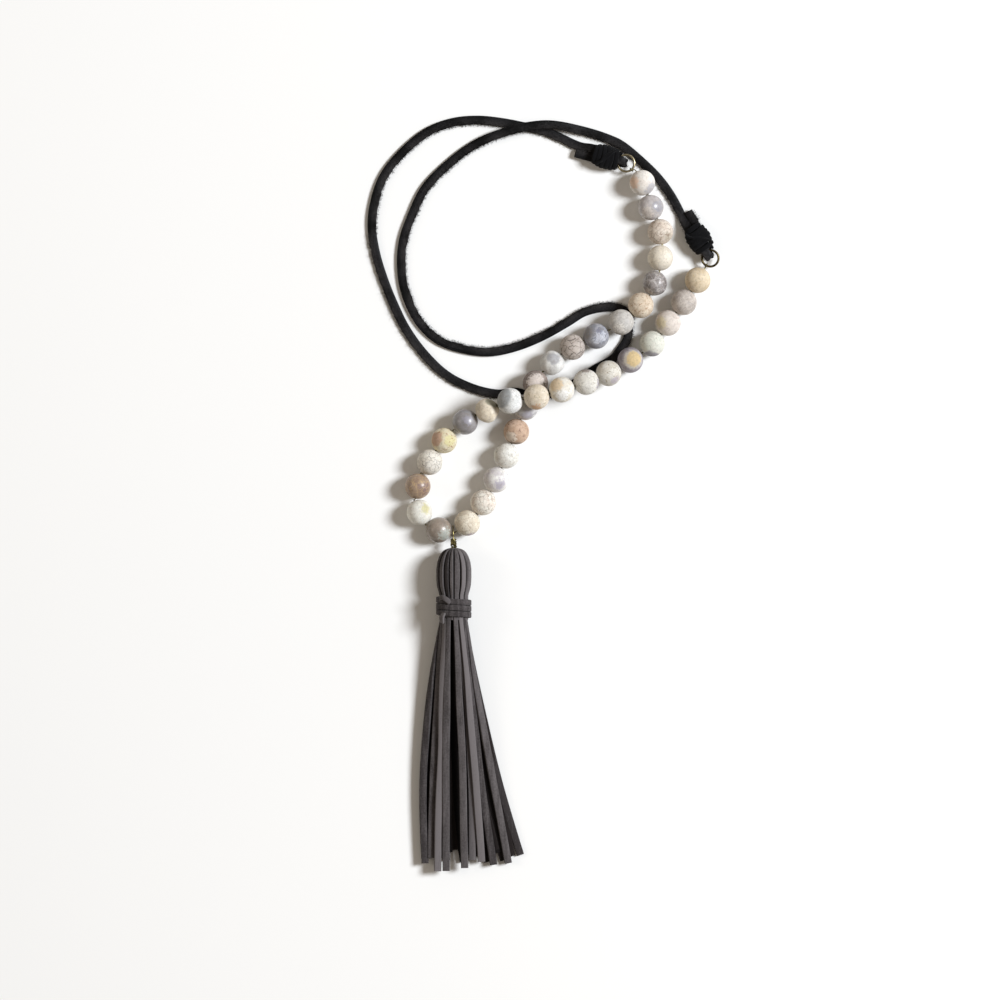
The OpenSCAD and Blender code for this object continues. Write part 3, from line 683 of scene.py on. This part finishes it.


# each bead's two tones and what it changes; veins are (colour, scale, width), specks (colour, scale,
# amount), and patches (right, up, size, colour) in bead radii as the bead is seen from above;
# bead 24's first patch is painted shadow
beadLooks = {
    1: stone("#f1ebe2", "#e6dcd0", strong=0.9,
        patches=[(-0.75, 0, 0.5, "#e5bfa0"), (0.7, -0.5, 0.55, "#b6b3b6")]),
    2: stone("#bdb3b1", "#d8d0cb", gloss=1, clear=1,
        patches=[(0.6, 0.1, 0.5, "#9d9aa3"), (-0.3, -0.5, 0.5, "#dccfc2")]),
    3: stone("#dccab6", "#e9dccb", strong=0.85, veins=("#8c6f56", 2.4, 0.04),
        patches=[(0.6, -0.4, 0.4, "#bdb09a")]),
    4: stone("#e6dac3", "#efe5d3", strong=0.85),
    5: stone("#7d736f", "#a89e99", gloss=0.8, clear=1, uneven=0.8, veins=("#ddd5cf", 2.2, 0.05)),
    6: stone("#dac3a3", "#e9d8bd", strong=0.8, specks=("#a97e52", 6, 0.14)),
    7: stone("#c3bdb5", "#d9d3c8", veins=("#a49b90", 2.8, 0.03), patches=[(-0.2, -0.6, 0.5, "#e4dccf")]),
    8: stone("#8f8f98", "#b9bac2", clear=0.5, veins=("#7f8594", 2.6, 0.04),
        patches=[(0.3, 0, 0.55, "#c9ccd8"), (-0.7, 0.3, 0.5, "#918a84"), (0.25, 0.4, 0.22, "#6d6c85")]),
    9: stone("#bfae9f", "#cfc0b1", veins=("#3d2c22", 1.9, 0.045)),
    10: stone("#e9e7e0", "#c9c7c1", bend=0.8, uneven=1.6, ragged=0.7, patches=[(0.1, 0.4, 0.62, "#a9a8ab")]),
    11: stone("#9b8578", "#86756c", specks=("#f0e8e0", 7, 0.06), patches=[(0.05, 0.15, 0.72, "#e3d3c6")]),
    12: stone("#e6e3dc", "#b8b4b6", patches=[(0.2, -0.6, 0.4, "#b2abb8")]),
    13: stone("#d3ab86", "#c4976c", strong=0.72, frost=0.8, ragged=0.6, specks=("#8f5f3f", 7, 0.12),
        patches=[(-0.45, -0.45, 0.5, "#e6d3ba"), (-0.1, -1.0, 0.62, "#80705c")]),
    14: stone("#f2f1ea", "#e3ded3", strong=1.05, veins=("#c3bcb0", 2.8, 0.025), specks=("#6d6a68", 5, 0.07)),
    15: stone("#f0ede6", "#d3cccd", strong=0.9, patches=[(0.35, -0.4, 0.4, "#b4acb8")]),
    16: stone("#f3eee2", "#e7dacd", strong=1.05, veins=("#8e7a69", 2.4, 0.03)),
    17: stone("#f1ead9", "#e0d4bf", strong=1.05, veins=("#a8957c", 3, 0.03),
        patches=[(0.3, -0.95, 0.42, "#b9abb0")]),
    18: stone("#a39485", "#8f8377", gloss=1, clear=1, strong=0.9, specks=("#d8d3ca", 6, 0.05),
        patches=[(0.55, -0.35, 0.55, "#b4b8ae")]),
    19: stone("#f7f6ec", "#ece8de", strong=1.05, patches=[(0.5, 0.3, 0.4, "#d6d0a0")]),
    20: stone("#a0846c", "#b2977c", gloss=0.8, clear=0.8, strong=0.9, veins=("#d6b57c", 2.6, 0.05),
        patches=[(0.6, -0.2, 0.6, "#8e7268")]),
    21: stone("#f1ece0", "#e6dfd2", strong=1.05, veins=("#55504c", 2.6, 0.035),
        patches=[(0.4, -0.5, 0.7, "#ebe6dc")]),
    22: stone("#e6d9b4", "#eee6cc", strong=0.95, frost=0.8, ragged=1.0, specks=("#a8744a", 6, 0.11),
        patches=[(-0.7, 0.15, 0.62, "#c39a80"), (0.5, 0.0, 0.5, "#e0d79f")]),
    23: stone("#a09b9b", "#8e8889", gloss=1, clear=1, patches=[(0.2, 0.1, 0.35, "#9c97a4")]),
    # bead 24's greenish grey patch at its upper right is painted shadow, cast on it by bead 25
    24: stone("#f1e1c2", "#e4cfa8", uneven=1.6, frost=0.8, ragged=0.3,
        patches=[(0.45, 0.75, 0.62, "#9a9676"), (-0.85, 0.3, 0.4, "#d8c9a6")]),
    25: stone("#e6e6e0", "#f3f3ee", bend=0.12, ragged=0.15, veins=("#b2b2ae", 3.6, 0.03),
        patches=[(-0.75, 0.3, 0.95, "#8b8f90")]),
    26: stone("#dac8a9", "#e8dac2", strong=0.8, specks=("#a79a66", 4.5, 0.1),
        patches=[(0, -0.85, 0.4, "#c8935c")]),
    27: stone("#ece7da", "#dfd3bc", strong=0.85, ragged=1.4,
        patches=[(-0.45, 0.45, 0.6, "#e3c79a"), (0.1, -0.5, 0.5, "#f6f4ee")]),
    28: stone("#dfd9c9", "#ebe6da", specks=("#8b7f63", 5, 0.1),
        patches=[(-0.1, 0.95, 0.45, "#8f7c70"), (0.95, -0.2, 0.35, "#8a7f8f")]),
    29: stone("#e5dfd0", "#d5cbb5", specks=("#a08a5f", 6, 0.11), patches=[(0.5, -0.6, 0.4, "#b7a9b4")]),
    30: stone("#aaa3a8", "#948d94", strong=0.9, bend=0.2, ragged=0.8, specks=("#96743f", 6, 0.05),
        patches=[(0.25, 0.05, 0.86, "#cfc7b8"), (0.3, 0.1, 0.66, "#d6b878")]),
    31: stone("#d9dbc7", "#e6e2d0", ragged=0.6, specks=("#9ba187", 5, 0.08),
        patches=[(-0.1, -0.95, 0.62, "#8f8894")]),
    32: stone("#d9c8b8", "#e4d5c5", patches=[(-0.6, 0, 0.5, "#ddc98f")]),
    33: stone("#c8b9aa", "#ad9f93", veins=("#e2d6c7", 3.2, 0.05)),
    34: stone("#e2cfae", "#d2ba92", strong=0.85, specks=("#c9a63f", 6, 0.07)),
}


def makeBead(n, tree, body):
    look = beadLooks[n]
    # frosted beads have deeper chips
    chips = bead["deepChips"] if look["frost"] > 0.5 else bead["chips"]
    piece = grown(f"stone_bead_{n:02d}", body.copy(), tree, {
        "Seed": n * 5.3, "Uneven": look["uneven"] * mm, "Chips": chips, "Place": beadPlaces[n - 1],
        "Turn": boreDirection(n).to_track_quat("Z", "Y").to_euler(), "Material": agate(n, look)}, 60)
    dress(piece, f"bead_{n:02d}")


wornBead, drilled = beadTree(), drilledSphere()
for n in range(1, beadCount + 1):
    makeBead(n, wornBead, drilled)
print("beads made:", beadCount)


# beading wire through every bore, with a loop round each jump ring

# the loop's turn round a ring is in degrees: from, to, step
wire = {"size": 0.42 * mm, "hook": 0.8 * mm, "loop": (130, -230, -36)}


# the wire from the low middle of the string through its beads and round ring k
def wireHalf(first, last, step, k):
    points = []
    for n in range(first, last + step, step):
        axis = boreDirection(n) * (1 if step > 0 else -1)
        points += [beadPlaces[n - 1] - bead["radius"] * axis, beadPlaces[n - 1] + bead["radius"] * axis]
    toRing = ringPlaces[k] - beadPlaces[last - 1]
    toRing.z = 0
    toRing.normalize()
    seat = ringPlaces[k] - ringRadius * toRing
    for a in range(*wire["loop"]):
        points.append(seat + wire["hook"] * (cos(radians(a)) * toRing + sin(radians(a)) * up))
    return points


def makeWire():
    first = wireHalf(stringLength, 1, -1, 0)
    second = wireHalf(stringLength + 1, beadCount, 1, 1)
    low = (first[0] + second[0]) / 2
    points = smoothPath(first[::-1] + [low] + second, 3)
    dress(roundWire("gold_beading_wire", points, up, wire["size"], 8, goldWire), "beading_wire")


makeWire()


# jump rings: round wire bent to a circle, its two ends not quite closed

# the first ring's metal is the paler copy, its extra brightness painted light
ring = {"wire": 0.9 * mm, "openAt": [204, 135], "gap": 3, "steps": 72, "metal": (paintedLightBrass, agedBrass)}


def makeRing(k):
    start = ring["openAt"][k]
    angles = [start + ring["gap"] / 2 + (360 - ring["gap"]) * i / ring["steps"]
              for i in range(ring["steps"] + 1)]
    points = [ringPlaces[k] + ringRadius * flatDirection(a) for a in angles]
    piece = roundWire(f"open_ring_{k + 1}", points, up, ring["wire"], 16, ring["metal"][k], 50)
    dress(piece, f"jump_ring_{k + 1}")


for k in range(2):
    makeRing(k)
print("wire and jump rings made")


# tassel: folded suede strips over a round head, bound at the neck and spread below

tassel = {
    "headRadius": 6.9 * mm, "headLength": 19.2 * mm, "neckRadius": 5.6 * mm, "length": 125 * mm,
    "spread": 38 * mm, "stripWidth": 2.8 * mm, "stripThickness": 1.3 * mm,
    "bandWidth": 2.2 * mm, "bandThickness": 1.1 * mm, "bandPitch": 2.35 * mm, "bandTurns": 3,
    "corner": 0.28 * mm, "headSteps": 30, "skirtSteps": 40, "bandSteps": 36,
    # share of the head's length, share of its radius
    "dome": [(0, 0.3), (0.015, 0.46), (0.05, 0.63), (0.1, 0.75), (0.17, 0.85), (0.28, 0.95), (0.42, 1),
             (0.6, 1), (0.75, 0.97), (0.86, 0.89), (0.93, 0.83), (1.5, 0.83)],
    # strips of the head as turn in degrees and width; gaps at the front open onto the core's painted shade
    "head": [(16, 0.84), (38, 0.8), (64, 0.86), (92, 1), (117, 1), (142, 1), (167, 1), (-168, 1),
             (-143, 1), (-118, 1), (-96, 0.95), (-72, 0.8), (-48, 0.84), (-26, 0.62), (-9, 0.5)],
    # turn round the neck, radius in neck radii, side at the middle and at the end in spreads,
    # height of the end in thicknesses, length in tassel lengths
    "upper": [
        (-86, 1, -0.29, -0.3, 2.2, 0.976), (-62, 1, -0.195, -0.235, 2.4, 0.959),
        (-44, 1, -0.13, -0.165, 3.4, 1), (-24, 1, -0.075, -0.075, 3.6, 0.999),
        (9, 1, 0.075, 0.11, 3.4, 0.99),
        (24, 0.8, 0.163, 0.19, 1.8, 0.966), (33, 1, 0.19, 0.28, 2.4, 0.971),
        (50, 1, 0.23, 0.4, 1.9, 0.981), (72, 1, 0.325, 0.56, 1.6, 0.976),
        (90, 1, 0.345, 0.68, 0.5, 0.951)],
    "lower": 11, "middle": 14,
    # unevenness: lean and sway of the head's strips, how deep they sink, drift, lift and twist of the
    # skirt's strips, and their width under the band
    "lean": (-0.15, 0.2), "sway": 0.07, "sink": 0.35 * mm,
    "drift": 0.5 * mm, "lift": 0.25 * mm, "twist": 0.22, "topWidth": 0.62,
    "coreDepth": 1.5 * mm, "bandWobble": 0.22 * mm,
    # the band's two ends, as turn in degrees, mm along and height in thicknesses: one humps over the top
    # turn at the front left, the other is left as a stub below
    "tuck": [(-50, 19.4, 0.2), (-42, 18.9, 0.9), (-32, 18.9, 1.2), (-21, 19.7, 1.0), (-12, 20.9, 0.3)],
    "stub": [(-34, 24.8, 0.3), (-37, 26.2, 0.85), (-39, 27.5, 0.8), (-41, 28.6, 0.5)],
}
bandLow, bandHigh = (Vector(corner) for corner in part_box("tassel_band"))
headTop = Vector(((bandLow.x + bandHigh.x) / 2,
                  bandHigh.y + tassel["headLength"] - tassel["bandWidth"] / 2,
                  (bandLow.z + bandHigh.z) / 2))
neckEnd = tassel["headLength"] + tassel["bandTurns"] * tassel["bandPitch"] + 1.3 * mm


# tassel places are (side, height, distance from the head's top)
def onTassel(side, height, along):
    return headTop + Vector((side, -along, height))


def headRadius(along):
    share = along / tassel["headLength"]
    rows = tassel["dome"]
    for (a, ra), (b, rb) in zip(rows, rows[1:]):
        if share <= b:
            return tassel["headRadius"] * (ra + (rb - ra) * (share - a) / (b - a))
    return tassel["headRadius"] * rows[-1][1]


def headStripRows(rng):
    rows = []
    for turn, width in tassel["head"]:
        lean = rng.uniform(*tassel["lean"])
        sway = rng.uniform(-tassel["sway"], tassel["sway"])
        sink = rng.uniform(0, tassel["sink"])
        points, sides, sizes = [], [], []
        for k in range(tassel["headSteps"] + 1):
            share = k / tassel["headSteps"]
            along = neckEnd * share ** 1.35
            radius = headRadius(along) - tassel["stripThickness"] * 0.55 - sink
            angle = radians(turn) + sway * sin(pi * share)
            out = Vector((sin(angle), 0, cos(angle)))
            around = Vector((cos(angle), 0, -sin(angle)))
            room = min(1, max(0.3, radius / tassel["headRadius"] * 1.02))
            twist = lean + 0.9 * (1 - room)
            points.append(onTassel(radius * out.x, radius * out.z, along))
            sides.append(cos(twist) * around + sin(twist) * out)
            sizes.append(width * room)
        rows.append((points, sides, sizes))
    return rows


# one strip from the neck to its end: its side passes through the three given, and it sinks to the floor
def skirtStrip(rng, turn, radius, middleSide, endSide, endHeight, length):
    roll = radians(turn - 180 if turn > 90 else turn + 180 if turn < -90 else turn)
    turn = radians(turn)
    run = tassel["length"] * length - neckEnd
    r = (tassel["neckRadius"] - tassel["stripThickness"] / 2) * radius
    floor = -headTop.z
    side0, side1, side2 = r * sin(turn), middleSide * tassel["spread"], endSide * tassel["spread"]
    height = endHeight * tassel["stripThickness"] + floor
    seed = rng.uniform(0, 100)
    twist = rng.uniform(-tassel["twist"], tassel["twist"])
    points, sides, sizes = [], [], []
    for k in range(-1, tassel["skirtSteps"] + 1):
        t = max(k, 0) / tassel["skirtSteps"]
        drift = tassel["drift"] * noise.noise(Vector((seed, t * 3, 0))) * smoothStep(t * 4)
        side = side0 * (1 - t) * (1 - 2 * t) + side1 * 4 * t * (1 - t) + side2 * t * (2 * t - 1) + drift
        rise = height + (r * cos(turn) - height) * (1 - t) ** 2
        rise += tassel["lift"] * abs(noise.noise(Vector((seed, t * 4, 9)))) * smoothStep(t * 4)
        along = neckEnd + run * t - (3 * mm if k < 0 else 0)
        lean = roll * (1 - t) ** 2 + twist * smoothStep(t * 3)
        reach = tassel["stripWidth"] / 2 * abs(sin(lean)) + tassel["stripThickness"] / 2
        points.append(onTassel(side, max(rise, floor + reach), along))
        sides.append(Vector((cos(lean), 0, -sin(lean))))
        sizes.append(tassel["topWidth"] + (1 - tassel["topWidth"]) * smoothStep(t * 2.2))
    return points, sides, sizes


# the strips beneath, coloured near-black as painted shade, which show as dark gaps between the upper ones
def innerRows(rng):
    rows = []
    for i in range(tassel["lower"]):
        share = i / (tassel["lower"] - 1)
        side = 0.6 - 0.84 * share
        rows.append(skirtStrip(rng, 108 + 144 * share, 1, 0.28 - 0.5 * share, side, 0.5,
                               0.955 + 0.02 * sin(radians(140 * i))))
    for i in range(tassel["middle"]):
        share = (i + 0.5) / tassel["middle"]
        rows.append(skirtStrip(rng, -80 + 160 * share, 0.55, -0.27 + 0.62 * share,
                               -0.27 + 0.88 * share, 0.5, rng.uniform(0.93, 0.965)))
    return rows


def suedePiece(name, rows, part, material, replaced, seed):
    piece = grown(name, splines(name, rows), sweepStrips, {
        "Width": tassel[part + "Width"], "Thickness": tassel[part + "Thickness"],
        "Corner": tassel["corner"], "Corner Points": 2, "Tint Seed": seed, "Material": material}, 50)
    keepAbove(piece)
    dress(piece, replaced)
    return piece


# the inside of the head, coloured near-black as painted shade, which shows as a dark gap between two strips
def makeHeadCore(material):
    turns, rows = 32, 24
    corners = []
    for i in range(rows + 1):
        along = 0.4 * mm + (neckEnd - 0.4 * mm) * i / rows
        radius = max(headRadius(along) - tassel["coreDepth"], 0.3 * mm)
        for j in range(turns):
            a = 2 * pi * j / turns
            corners.append(onTassel(radius * sin(a), radius * cos(a), along))
    faces = [(i * turns + j, (i + 1) * turns + j, (i + 1) * turns + (j + 1) % turns,
              i * turns + (j + 1) % turns) for i in range(rows) for j in range(turns)]
    faces += [tuple(range(turns)), tuple(range((rows + 1) * turns - 1, rows * turns - 1, -1))]
    mesh = newMesh("tassel_core_painted_shade", corners, faces)
    mesh.shade_smooth()
    mesh.materials.append(material)
    dress(addObject("tassel_core_painted_shade", mesh), "tassel")


def bandRows():
    radius = tassel["neckRadius"] + 0.15 * mm + tassel["bandThickness"] / 2
    axis = Vector((0, -1, 0))
    points = []
    count = tassel["bandSteps"] * tassel["bandTurns"]
    for i in range(count + 1):
        turn = 2 * pi * i / tassel["bandSteps"] + pi
        wobble = tassel["bandWobble"] * noise.noise(Vector((i * 0.13, 4, 0)))
        along = tassel["headLength"] + tassel["bandPitch"] * tassel["bandTurns"] * i / count + wobble
        points.append(onTassel(radius * sin(turn), radius * cos(turn), along))
    rows = [evenRow(points, axis)]
    for end, side in (("tuck", axis), ("stub", Vector((0.75, 0.1, 0.65)))):
        route = []
        for turn, along, out in tassel[end]:
            a = radians(turn)
            r = radius + out * tassel["bandThickness"]
            route.append(onTassel(r * sin(a), r * cos(a), along * mm))
        rows.append(evenRow(smoothPath(route, 4), side, 0.85))
    return rows


rng = random.Random(7)
stripSuede = greySuede("grey_suede_strip", "#332f2f", "#676262")
# near-black suede for the inner strips and the head's core: painted shade where they lie in shadow
paintedShadeSuede = greySuede("grey_suede_painted_shade", "#0a0808", "#221d1c")
for part, rows, material, seed in (
        ("head", headStripRows(rng), stripSuede, 5),
        ("skirt", [skirtStrip(rng, *row) for row in tassel["upper"]], stripSuede, 8),
        ("inner", innerRows(rng), paintedShadeSuede, 3)):
    suedePiece(f"tassel_{part}_strips", rows, "strip", material, "tassel", seed)
suedePiece("tassel_neck_band", bandRows(), "band", stripSuede, "tassel_band", 2)
makeHeadCore(paintedShadeSuede)
print("tassel made")


# bail: one wire, looped round the beading wire, wrapped round itself and looped into the tassel

bail = {"wire": 0.55 * mm, "upperEye": 0.945 * mm, "lowerEye": 0.8925 * mm, "coil": 0.95 * mm, "turns": 4.5,
        "pitch": 0.66 * mm, "sway": 0.3 * mm, "uneven": 0.25, "tail": 1 * mm, "steps": 16,
        # each eye's turn in degrees: from, to, step
        "upperTurn": (-60, 241, 20), "lowerTurn": (-90, 181, 20)}


def makeBail():
    top = wireLow - 0.2 * mm * up
    bottom = headTop + Vector((0, 0.5 * mm, 0.1 * mm))
    axis = (bottom - top).normalized()
    level = Vector((1, 0, 0))
    stand = level.cross(axis).normalized()
    length = (bottom - top).length
    points = []
    # round the beading wire, its loop a little flattened
    for a in range(*bail["upperTurn"]):
        angle = radians(a)
        points.append(top + bail["upperEye"] * ((0.75 - 0.9 * cos(angle)) * axis + sin(angle) * stand))
    # down the middle, round the tassel's loop and back
    for a in range(*bail["lowerTurn"]):
        angle = radians(a)
        points.append(bottom + bail["lowerEye"] * (sin(angle) * axis + cos(angle) * level))
    # wrapped back up over the stem, each turn a little different
    for i in range(int(bail["turns"] * bail["steps"])):
        angle = 2 * pi * i / bail["steps"]
        drop = length - 0.4 * mm - bail["pitch"] * i / bail["steps"]
        drop += bail["sway"] * sin(angle + i * 0.05)
        coil = bail["coil"] * (1 + bail["uneven"] * noise.noise(Vector((i * 0.15, 2, 0))))
        points.append(top + drop * axis + coil * (cos(angle) * level + sin(angle) * stand))
    tail = points[-1]
    points += [tail + bail["tail"] / 2 * level, tail + bail["tail"] * (level - 0.2 * axis)]
    points = smoothPath(points, 2)
    dress(roundWire("gold_bail", points, stand, bail["wire"], 10, goldWire), "tassel_bail")


makeBail()
print("bail made")


# pale floor and soft studio light from the right

studio = {"floor": "#ebebe9", "floorCloud": "#efeeeb", "floorSize": 6,
          "sky": "#fff1e1", "skyStrength": 0.25, "distance": 3,
          "keySize": 0.95, "keyPower": 130, "keyColour": "#f5f9ff", "keyAngles": (43, 14),
          "fillSize": 1.2, "fillPower": 12, "fillColour": "#fff6ea", "fillAngles": (32, 172)}


def makeFloor():
    half = studio["floorSize"] / 2
    corners = [(-half, -half, 0), (half, -half, 0), (half, half, 0), (-half, half, 0)]
    mesh = newMesh("floor", corners, [(0, 1, 2, 3)])
    # matt white board with the faintest unevenness over a third of a metre
    mesh.materials.append(twoToned("pale_board", {"Scale": 3}, studio["floor"], studio["floorCloud"], {
        "Roughness": 0.7, "Specular IOR Level": 0.2}))
    floor = addObject("floor", mesh)
    floor.location.z = -0.05 * mm


def makeLight(name, size, power, tint, angles):
    rise, turn = radians(angles[0]), radians(angles[1])
    towards = Vector((cos(rise) * cos(turn), cos(rise) * sin(turn), sin(rise)))
    data = bpy.data.lights.new(name, "AREA")
    data.shape, data.size, data.energy, data.color = "DISK", size, power, colour(tint)[:3]
    light = addObject(name, data)
    light.location = view["centre"] + studio["distance"] * towards
    light.rotation_euler = (-towards).to_track_quat("-Z", "Y").to_euler()


def makeSky():
    world = bpy.data.worlds.new("studio")
    world.use_nodes = True
    world.node_tree.nodes.clear()
    glow = addNode(world.node_tree, "ShaderNodeBackground", {
        "Color": studio["sky"], "Strength": studio["skyStrength"]})
    addNode(world.node_tree, "ShaderNodeOutputWorld", {"Surface": glow})
    bpy.context.scene.world = world


makeFloor()
for role in ("key", "fill"):
    makeLight(role + "_light", *[studio[role + part] for part in ("Size", "Power", "Colour", "Angles")])
makeSky()
print("floor and lights made")
